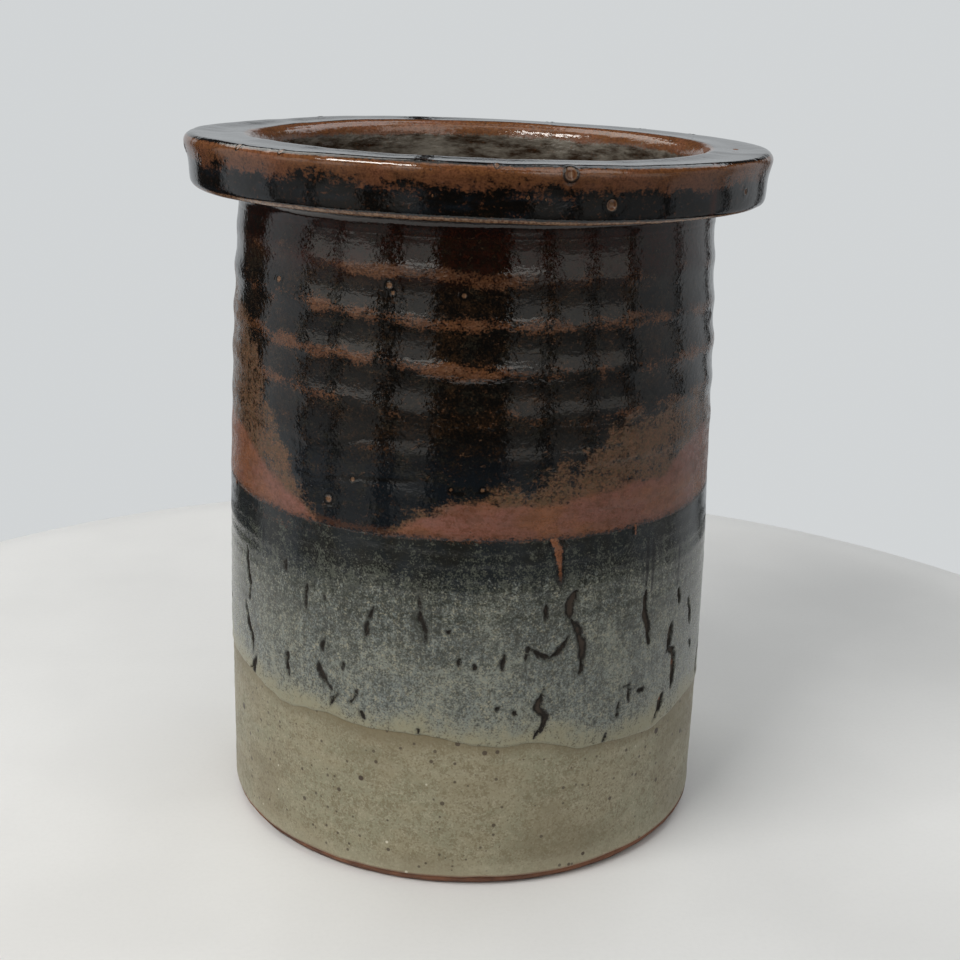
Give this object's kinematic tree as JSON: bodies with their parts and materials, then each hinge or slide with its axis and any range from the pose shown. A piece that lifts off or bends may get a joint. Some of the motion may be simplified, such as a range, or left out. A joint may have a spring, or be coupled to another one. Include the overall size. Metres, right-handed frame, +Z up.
{
  "type": "stoneware pottery vase",
  "caption": "Hand-thrown cylindrical stoneware vase with a thick flanged rim, open mouth and flat foot, in banded dipped glazes, for holding stems or utensils upright.",
  "frame": {"origin": "centre of the foot, on the surface that the vase stands on", "axes": "+Z up along the vase's axis; the side shown in the picture faces -Y, with +X to its right"},
  "size_m": [0.1418, 0.1418, 0.17],
  "materials": {
    "bare_clay": "bare fired stoneware, rust brown, matt and slightly gritty",
    "ash_glaze": "satin olive-grey ash glaze with iron spots",
    "grey_glaze": "speckled blue-grey glaze, satin to glossy, with crawled cracks",
    "black_glaze": "glossy black tenmoku breaking to rust on ridges and edges"
  },
  "bodies": {
    "root": {"clay_floor": "bare_clay", "clay_wall": "bare_clay", "clay_rim": "bare_clay", "inside_glaze": "black_glaze", "ash_glaze": "ash_glaze", "grey_glaze": "grey_glaze", "tenmoku_glaze": "black_glaze", "rim_glaze": "black_glaze"}
  },
  "joints": []
}
